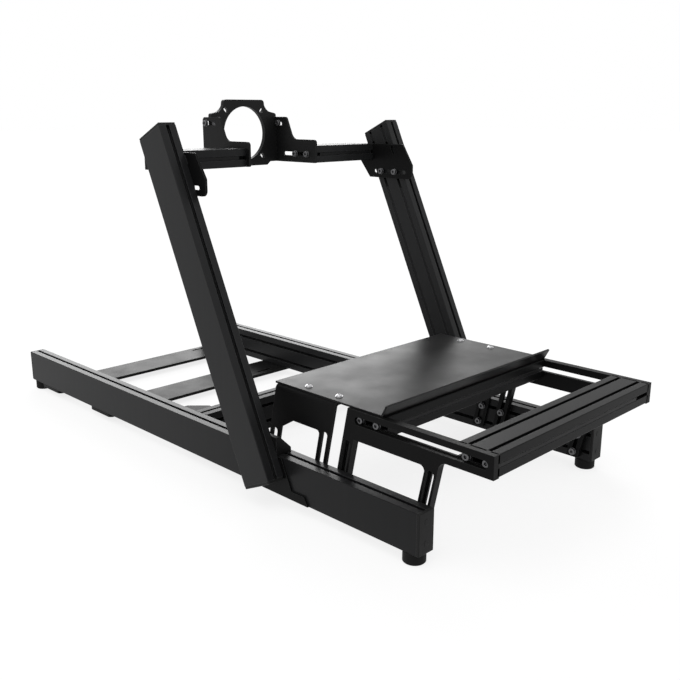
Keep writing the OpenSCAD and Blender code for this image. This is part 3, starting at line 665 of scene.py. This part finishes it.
def carve(piece, tool, operation="DIFFERENCE"):
    """Cuts one closed object out of another, or joins it on, and keeps a plain mesh."""
    modifier = piece.modifiers.new("Carve", "BOOLEAN")
    modifier.operation = operation
    modifier.solver = "EXACT"
    modifier.object = tool
    bpy.context.view_layer.update()
    carved = bpy.data.meshes.new_from_object(piece.evaluated_get(bpy.context.evaluated_depsgraph_get()))
    piece.modifiers.remove(modifier)
    old, piece.data = piece.data, carved
    spent = tool.data
    bpy.data.objects.remove(tool)
    for mesh in (old, spent):
        bpy.data.meshes.remove(mesh)
    carved.name = piece.name


def hang(piece, material, slot, *nodes):
    """Finishes a cut piece, sets it on the root and hides the frame's nodes whose place it takes."""
    piece.data.materials.clear()
    piece.data.materials.append(material)
    piece.data.shade_smooth()
    piece.data.set_sharp_from_angle(angle=0.5)
    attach(piece, "root")
    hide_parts(*nodes)


# Operators

class COCKPIT_OT_profiles(bpy.types.Operator):
    """Finish the slotted profiles in black anodising, with die lines along each one"""
    bl_idname = "cockpit.profiles"
    bl_label = "Profiles"

    def execute(self, context):
        f = finishes()
        quarter = math.pi / 2
        # painted light: the same anodising in four copies, each made lighter or darker by its third number,
        # for how that group of profiles faces the light
        groups = (
            ("anodised along the rails", (quarter, 0.0, 0.0), 1.8, 0.12, both("base_rail")),
            ("anodised across", (0.0, quarter, 0.0), 0.9, 0.065,
             ["cross_member", "deck_beam_front", "deck_beam_rear"]),
            ("anodised along the arms", (0.0, quarter, 0.0), 2.4, 0.10, both("arm")),
            ("anodised up the uprights", (-LEAN, 0.0, 0.0), 2.1, 0.14, both("upright")),
        )
        for name, along, depth, gleam, names in groups:
            colour = shade(f.anodised, depth)[:3]
            dress(anodised_finish(name, along, colour, f.anodised_gloss, gleam), *names)
        return {"FINISHED"}


class COCKPIT_OT_plates(bpy.types.Operator):
    """Finish the cut and bent plates in black powder coat"""
    bl_idname = "cockpit.plates"
    bl_label = "Plates"

    def execute(self, context):
        f = finishes()
        dress(powder_finish("powder coat", f.powder, f.powder_gloss),
              "seat_plate_rear", "seat_plate_front",
              *both("upright_side_plate", "arm_plate"))
        # painted light: the wheel brackets and the wheel plate take the same powder coat made 1.8 and 2.4
        # times lighter, for how they catch the light
        dress(powder_finish("bracket coat", shade(f.powder, 1.8)[:3], f.powder_gloss, gleam=0.10),
              *both("wheel_bracket"))
        dress(powder_finish("heel plate coat", f.heel, f.heel_gloss, 1900.0, 0.08, 0.11), "heel_plate")
        dress(powder_finish("wheel plate coat", shade(f.powder, 2.4)[:3], 0.42, 1900.0, 0.10, 0.12),
              "wheel_mount_plate")
        return {"FINISHED"}


class COCKPIT_OT_deck_plates(bpy.types.Operator):
    """Cut the thick side plates of the pedal deck, with recesses for the screw heads"""
    bl_idname = "cockpit.deck_plates"
    bl_label = "Deck side plates"

    FRONT, REAR = 115.0, -208.0      # ends of the plates' top edge
    FRONT_LEG = -41.5                # middle of the front legs at the rail underside
    WINDOW_TOP, WINDOW_R = 148.5, 10.0
    NOSE, NOSE_R = 41.5, 17.0        # depth of the front end and the radius under it
    LEG_SLOT_TOP = 143.0

    def execute(self, context):
        f = finishes()
        coat = powder_finish("deck plate coat", f.powder, f.powder_gloss)
        c = cut_plates()
        face, inner = PLATE_FACE, PLATE_FACE - c.deck / MM
        floor = PLATE_FACE - c.recess_depth / MM
        for side, hand in ((1, "right"), (-1, "left")):
            plate = block("deck_plate_" + hand, [side_view(side, inner, face, self.outline(c))])
            for width, leg, near, far in ((c.slot, c.leg_slot, inner - 1, floor + 1),
                                          (c.recess, c.recess, floor, face + 1)):
                carve(plate, block("cutter", [side_view(side, near, far, slot)
                                              for slot in self.slots(c, width / MM, leg / MM)]))
            hang(plate, coat, "plate", "deck_side_plate_" + hand, "beam_end_front_" + hand,
                 "beam_end_rear_" + hand)
        return {"FINISHED"}

    def feet(self, c):
        """Edges of the rear and the front leg at height zero, from the rear."""
        leg = c.deck_leg / MM
        rear = self.REAR - DECK_TOP * LEG_RUN
        return rear, rear + leg, self.FRONT_LEG - leg / 2, self.FRONT_LEG + leg / 2

    def outline(self, c):
        """The plate from the side: leaning legs, the window between them and the rounded nose."""
        rear, rear_in, front_in, front = self.feet(c)
        low, r, nose = DECK_TOP - self.NOSE, self.WINDOW_R, self.NOSE_R
        corner = leaning(front_in, self.WINDOW_TOP - r)
        bend = leaning(front, low - nose)
        return ([leaning(rear, LEG_FOOT), leaning(rear_in, LEG_FOOT), leaning(rear_in, self.WINDOW_TOP)]
                + arc(corner[0] - r, corner[1], r, 90, 0)
                + [leaning(front_in, LEG_FOOT), leaning(front, LEG_FOOT)]
                + arc(bend[0] + nose, bend[1], nose, 174, 90)
                + [(self.FRONT, low), (self.FRONT, DECK_TOP), (self.REAR, DECK_TOP)])

    def slots(self, c, width, leg):
        """The slot for the beams' screws and one down each leg, at their widths."""
        rear, rear_in, front_in, front = self.feet(c)
        reach = width / 2
        found = [slot_outline((DECK_BOLTS[0] - reach, BOLT_Z), (DECK_BOLTS[-1] + reach, BOLT_Z), width)]
        spare = (c.recess / MM - leg) / 2
        for foot in ((rear + rear_in) / 2, (front_in + front) / 2):
            found.append(slot_outline(leaning(foot, SLOT_LOW + spare),
                                      leaning(foot, self.LEG_SLOT_TOP - spare), leg))
        return found


class COCKPIT_OT_heel_brackets(bpy.types.Operator):
    """Cut and bend the brackets that carry the heel plate"""
    bl_idname = "cockpit.heel_brackets"
    bl_label = "Heel brackets"

    FRONT, REAR = -240.0, -408.5     # ends of the flange
    BEND = 9.0                       # outer bend radius
    FLANGE = 46.0
    WINDOW_TOP, WINDOW_R = 142.0, 7.0
    SLANT_W, SLANT_H = 36.0, 22.0    # slanted rear corner of the window
    REAR_SLOT, FRONT_SLOT = 114.0, 143.0   # tops of the slots in the legs
    HOLE = 6.6

    def execute(self, context):
        f = finishes()
        coat = powder_finish("heel bracket coat", f.powder, f.powder_gloss)
        c = cut_plates()
        face, inner = PLATE_FACE, PLATE_FACE - c.heel / MM
        width = c.heel_slot / MM
        for side, hand in ((1, "right"), (-1, "left")):
            bracket = block("heel_bracket_plate_" + hand, [side_view(side, inner, face, self.outline(c))])
            carve(bracket, self.flange(side, c.heel / MM), "UNION")
            rear, rear_in, front_in, front = self.feet(c)
            slots = [slot_outline(leaning((a + b) / 2, SLOT_LOW), leaning((a + b) / 2, top), width)
                     for a, b, top in ((rear, rear_in, self.REAR_SLOT),
                                       (front_in, front, self.FRONT_SLOT))]
            holes = [[[at(side * x, y, z) for x, y in arc(HEEL_BOLT_X, bolt, self.HOLE / 2, 0, 345, 23)]
                      for z in (DECK_TOP - 8, DECK_TOP + 1)] for bolt in HEEL_BOLTS]
            cuts = [side_view(side, inner - 1, face + 1, slot) for slot in slots]
            carve(bracket, block("cutter", cuts + holes))
            hang(bracket, coat, "plate", "heel_bracket_" + hand)
        return {"FINISHED"}

    def feet(self, c):
        """Edges of the rear and the front leg at height zero, from the rear."""
        leg = c.heel_leg / MM
        top = DECK_TOP - self.BEND
        rear, front = self.REAR - top * LEG_RUN, self.FRONT - top * LEG_RUN
        return rear, rear + leg, front - leg, front

    def outline(self, c):
        """The bracket from the side: leaning legs and the window with its slanted corner."""
        rear, rear_in, front_in, front = self.feet(c)
        top, r, window = DECK_TOP - self.BEND, self.WINDOW_R, self.WINDOW_TOP
        slant = leaning(rear_in, window - self.SLANT_H)
        corner = leaning(front_in, window - r)
        return ([leaning(rear, LEG_FOOT), leaning(rear_in, LEG_FOOT), slant,
                 (slant[0] + self.SLANT_W, window)]
                + arc(corner[0] - r, corner[1], r, 90, 0, 4)
                + [leaning(front_in, LEG_FOOT), leaning(front, LEG_FOOT), leaning(front, top),
                   leaning(rear, top)])

    def flange(self, side, thickness):
        """The bend and the flange under the heel plate, as one closed strip."""
        x, z = PLATE_FACE - self.BEND, DECK_TOP - self.BEND
        edge = PLATE_FACE - self.FLANGE
        section = ([(edge, DECK_TOP)] + arc(x, z, self.BEND, 90, 0, 8)
                   + arc(x, z, self.BEND - thickness, 0, 90, 8) + [(edge, DECK_TOP - thickness)])
        rings = [[at(side * a, y, b) for a, b in section] for y in (self.REAR, self.FRONT)]
        return block("flange", [rings])


class COCKPIT_OT_slot_covers(bpy.types.Operator):
    """Close the slots that hold no screw with cover strips, which end short of the profiles' ends"""
    bl_idname = "cockpit.slot_covers"
    bl_label = "Slot covers"

    SINK = 0.2                              # how far a strip lies under the profile's face
    FRONT_BEAM, REAR_BEAM = 115, -123       # front faces of the deck beams
    FRONT_ENDS, REAR_ENDS = (-208, 253), (-252, 252)
    ARM_ENDS = (123, 300)
    LOWER, UPPER = (100, 545), (655, 690)   # heights of an upright's strips
    ROW_DROP = 17                           # the rear slot ends this much lower

    def execute(self, context):
        f = finishes()
        c = cut_plates()
        half = c.strip / 2
        pairs = []
        for start, end, facing in self.places():
            across = Vector(facing).cross(end - start).normalized() * half
            depths = (self.SINK * MM, self.SINK * MM + c.strip_depth)
            top, under = [Vector(facing) * -depth for depth in depths]
            section = (top - across, top + across, under + across, under - across)
            pairs.append([[tip + corner for corner in section] for tip in (start, end)])
        piece = block("slot_covers", pairs)
        piece.data.materials.append(moulded_finish("slot cover plastic", shade(f.anodised, 1.2)[:3],
                                                   0.45, 1500.0, 0.05))
        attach(piece, "root")
        return {"FINISHED"}

    def places(self):
        """Start, end and facing of every strip."""
        found = []
        for y, ends in ((self.FRONT_BEAM, self.FRONT_ENDS), (self.REAR_BEAM, self.REAR_ENDS)):
            start, end = [at(x, y, BOLT_Z) for x in ends]
            found.append((start, end, (0, 1, 0)))
        for s in SIDES:
            start, end = [at(s * x, ARM_FRONT, ARM_Z) for x in self.ARM_ENDS]
            found.append((start, end, (0, 1, 0)))
            for row in (0, 1):
                for low, high in (self.LOWER, (self.UPPER[0], self.UPPER[1] - self.ROW_DROP * row)):
                    start, end = [at(s * UPRIGHT_FACE, upright_slot(z, row), z) for z in (low, high)]
                    found.append((start, end, (-s, 0, 0)))
        return found


class COCKPIT_OT_small_parts(bpy.types.Operator):
    """Finish the corner brackets, the end caps and the feet"""
    bl_idname = "cockpit.small_parts"
    bl_label = "Brackets, caps and feet"

    def execute(self, context):
        f = finishes()
        dress(casting_finish("coated casting", f.casting), *both("corner_bracket", "rail_top_bracket"))
        dress(moulded_finish("moulded cap", f.plastic, 0.52, 1500.0, 0.2),
              *both("rail_cap_front", "rail_cap_rear", "upright_top_cap", "upright_base_cap"))
        dress(moulded_finish("foot rubber", f.rubber, 0.66, 900.0, 0.3), *both("foot_front", "foot_rear"))
        return {"FINISHED"}


class COCKPIT_OT_socket_screws(bpy.types.Operator):
    """Set black socket screws with washers wherever a plate, bracket or profile is bolted"""
    bl_idname = "cockpit.socket_screws"
    bl_label = "Socket screws"

    # the face that a leg's screws stand on, and the leg's middle at height zero
    LEGS = ((253.0, -238.2), (253.0, -41.5), (263.0, -435.1), (263.0, -297.6))
    TILT_OUT, TILT_IN = (-828.5, 702.6), (-806.5, 701.5)   # screws in the curved tilt slots
    PLATE_BOLT = 583.0                    # height of the screws from arm plate to upright
    CORNER, SMALL_CORNER = 24.2, 20.9     # from a bracket's corner to its screws
    SEAT_EDGES = (1357.0, 1096.0)         # rear edges of the seat plates behind the rail fronts
    SEAT_BOLTS = (25.0, 75.0)             # ahead of those edges
    SEAT_LOW = -8.0                       # underside of the seat plates

    def execute(self, context):
        steel = steel_finish("black screw steel", finishes().black_steel, 0.9, 0.38)
        for name, places in self.places().items():
            set_screws(name, places, steel)
        return {"FINISHED"}

    def places(self):
        """Places and facings by piece: the right side's screws, then their mirror images."""
        found = {}
        for s in SIDES:
            for name, (x, y, z), (across, along, up) in self.right_side():
                found.setdefault(name, []).append((at(s * x, y, z), (s * across, along, up)))
        return found

    def right_side(self):
        """Piece, place and facing of every socket screw on the right side."""
        outward, inward, rearward, upward, downward = (
            (1, 0, 0), (-1, 0, 0), (0, -1, 0), (0, 0, 1), (0, 0, -1))
        recess_floor = PLATE_FACE - cut_plates().recess_depth / MM
        for y in DECK_BOLTS:
            yield "deck_screws", (recess_floor, y, BOLT_Z), outward
        # legs of the deck side plates and heel brackets, into the rails' inner slots
        for x, foot in self.LEGS:
            for z in RAIL_SLOTS:
                yield "leg_screws", (x, *leaning(foot, z)), inward
        for y in ARM_BOLTS:
            yield "wheel_bracket_screws", (BRACKET_IN, y, ARM_Z), inward
        for y, z in ((PIVOT_Y, ARM_Z), self.TILT_OUT):
            yield "tilt_screws", (BRACKET_IN + SHEET, y, z), outward
        yield "tilt_screws", (BRACKET_IN, *self.TILT_IN), inward
        for row in (0, 1):
            slot_y = upright_slot(self.PLATE_BOLT, row)
            yield "arm_plate_screws", (UPRIGHT_FACE - SHEET, slot_y, self.PLATE_BOLT), inward
        for y in ARM_BOLTS:
            yield "arm_plate_screws", (UPRIGHT_FACE, y, ARM_Z), outward
        for z in RAIL_SLOTS:
            yield "bracket_screws", (PLATE_FACE - SHEET, CROSS_REAR - self.CORNER, z), inward
            yield "bracket_screws", (PLATE_FACE - self.CORNER, CROSS_REAR - SHEET, z), rearward
        slot_y = upright_slot(RAIL_TOP, 0)
        yield "bracket_screws", (UPRIGHT_FACE - self.SMALL_CORNER, slot_y, RAIL_TOP + SHEET), upward
        yield "bracket_screws", (UPRIGHT_FACE - SHEET, slot_y, RAIL_TOP + self.SMALL_CORNER), inward
        for edge in self.SEAT_EDGES:
            for ahead in self.SEAT_BOLTS:
                yield "seat_plate_screws", (RAIL_MIDDLE, ahead - edge, self.SEAT_LOW), downward


class COCKPIT_OT_heel_screws(bpy.types.Operator):
    """Set the bright button head screws of the heel plate"""
    bl_idname = "cockpit.heel_screws"
    bl_label = "Heel plate screws"

    def execute(self, context):
        s = screws()
        steel = steel_finish("bright screw steel", finishes().bright_steel, 1.0, 0.24)
        places = [(at(side * HEEL_BOLT_X, y, HEEL_TOP), (0, 0, 1)) for side in SIDES for y in HEEL_BOLTS]
        set_screws("heel_plate_screws", places, steel, head_diameter=s.button,
                   head_height=s.button_height, edge=0.0004, crown=0.0020, socket_width=0.004,
                   socket_depth=0.0022, washer_diameter=0.015, washer_height=0.0010)
        return {"FINISHED"}


class COCKPIT_OT_stage(bpy.types.Operator):
    """Make the pale floor, the soft studio light and the camera"""
    bl_idname = "cockpit.stage"
    bl_label = "Floor, light and camera"

    def execute(self, context):
        self.make_floor()
        self.make_world()
        self.make_lights()
        self.make_camera()
        context.scene.view_settings.view_transform = "Standard"
        return {"FINISHED"}

    def make_floor(self):
        half = 30.0
        mesh = bpy.data.meshes.new("floor")
        mesh.from_pydata([(-half, -half, 0), (half, -half, 0), (half, half, 0), (-half, half, 0)], [],
                         [(0, 1, 2, 3)])
        floor = bpy.data.objects.new("floor", mesh)
        bpy.context.scene.collection.objects.link(floor)
        material = bpy.data.materials.new("studio floor")
        material.use_nodes = True
        nodes = Tree(material.node_tree)
        material.node_tree.nodes.clear()
        tone = (*studio().floor, 1.0)
        matte = nodes.add("ShaderNodeBsdfDiffuse", {"Color": tone})
        seen = nodes.add("ShaderNodeBsdfDiffuse", {"Color": (0.25, 0.25, 0.25, 1.0)})
        glow = nodes.add("ShaderNodeEmission", {"Color": (1, 1, 1, 1), "Strength": studio().floor_lift})
        lifted = nodes.add("ShaderNodeAddShader")
        nodes.feed(lifted.inputs[0], seen.outputs[0])
        nodes.feed(lifted.inputs[1], glow.outputs[0])
        mix = nodes.add("ShaderNodeMixShader", {"Fac": camera_sight(nodes)})
        nodes.feed(mix.inputs[1], matte.outputs[0])
        nodes.feed(mix.inputs[2], lifted.outputs[0])
        nodes.add("ShaderNodeOutputMaterial", {"Surface": mix.outputs[0]})
        mesh.materials.append(material)

    def make_world(self):
        world = bpy.data.worlds.new("studio")
        world.use_nodes = True
        bpy.context.scene.world = world
        nodes = Tree(world.node_tree)
        world.node_tree.nodes.clear()
        light = nodes.add("ShaderNodeBackground", {"Color": (1, 1, 1, 1), "Strength": studio().sky})
        white = nodes.add("ShaderNodeBackground", {"Color": (1, 1, 1, 1), "Strength": 1.0})
        mix = nodes.add("ShaderNodeMixShader", {"Fac": camera_sight(nodes)})
        nodes.feed(mix.inputs[1], light.outputs[0])
        nodes.feed(mix.inputs[2], white.outputs[0])
        nodes.add("ShaderNodeOutputWorld", {"Surface": mix.outputs[0]})

    def make_lights(self):
        """Two soft lights: a wide one high on the near side, a low one that glances along from the rear."""
        for name, place, spread, strength in (
                ("high light", (1.6, 0.5, 3.2), 70.0, 1.0),
                ("rear light", (-1.5, -2.2, 0.95), 38.0, 1.25)):
            lamp = bpy.data.lights.new(name, "SUN")
            lamp.angle = math.radians(spread)
            lamp.energy = strength
            body = bpy.data.objects.new(name, lamp)
            body.location = place
            body.rotation_euler = Vector(place).to_track_quat("Z", "Y").to_euler()
            bpy.context.scene.collection.objects.link(body)

    def make_camera(self):
        data = bpy.data.cameras.new("camera")
        data.lens = 45.15
        data.sensor_width = 36.0
        camera = bpy.data.objects.new("camera", data)
        camera.location = (1.3173, 1.4705, 0.7525)
        camera.rotation_euler = (math.radians(74.9435), 0.0, math.radians(135.01))
        bpy.context.scene.collection.objects.link(camera)
        bpy.context.scene.camera = camera


class COCKPIT_PT_panel(bpy.types.Panel):
    """The cockpit's steps and settings in the sidebar of the 3D view"""
    bl_idname = "COCKPIT_PT_panel"
    bl_label = "Sim racing cockpit"
    bl_space_type = "VIEW_3D"
    bl_region_type = "UI"
    bl_category = "Cockpit"

    def draw(self, context):
        for step in STEPS:
            self.layout.operator(step.bl_idname)
        for settings in (getattr(context.scene, name) for name in SETTINGS):
            box = self.layout.box()
            for key in settings.__annotations__:
                box.prop(settings, key)


STEPS = (COCKPIT_OT_stage, COCKPIT_OT_profiles, COCKPIT_OT_plates, COCKPIT_OT_deck_plates,
         COCKPIT_OT_heel_brackets, COCKPIT_OT_slot_covers, COCKPIT_OT_small_parts,
         COCKPIT_OT_socket_screws, COCKPIT_OT_heel_screws)
SETTINGS = {"cockpit_finishes": CockpitFinishes, "cockpit_screws": CockpitScrews,
            "cockpit_cut_plates": CockpitCutPlates, "cockpit_studio": CockpitStudio}


def register():
    for cls in (*SETTINGS.values(), *STEPS, COCKPIT_PT_panel):
        bpy.utils.register_class(cls)
    for name, cls in SETTINGS.items():
        setattr(bpy.types.Scene, name, bpy.props.PointerProperty(type=cls))


def unregister():
    for name in SETTINGS:
        delattr(bpy.types.Scene, name)
    for cls in reversed((*SETTINGS.values(), *STEPS, COCKPIT_PT_panel)):
        bpy.utils.unregister_class(cls)


def main():
    register()
    bpy.ops.cockpit.stage()
    bpy.ops.cockpit.profiles()
    bpy.ops.cockpit.plates()
    bpy.ops.cockpit.deck_plates()
    bpy.ops.cockpit.heel_brackets()
    bpy.ops.cockpit.slot_covers()
    bpy.ops.cockpit.small_parts()
    bpy.ops.cockpit.socket_screws()
    bpy.ops.cockpit.heel_screws()


if __name__ == "__main__":
    main()
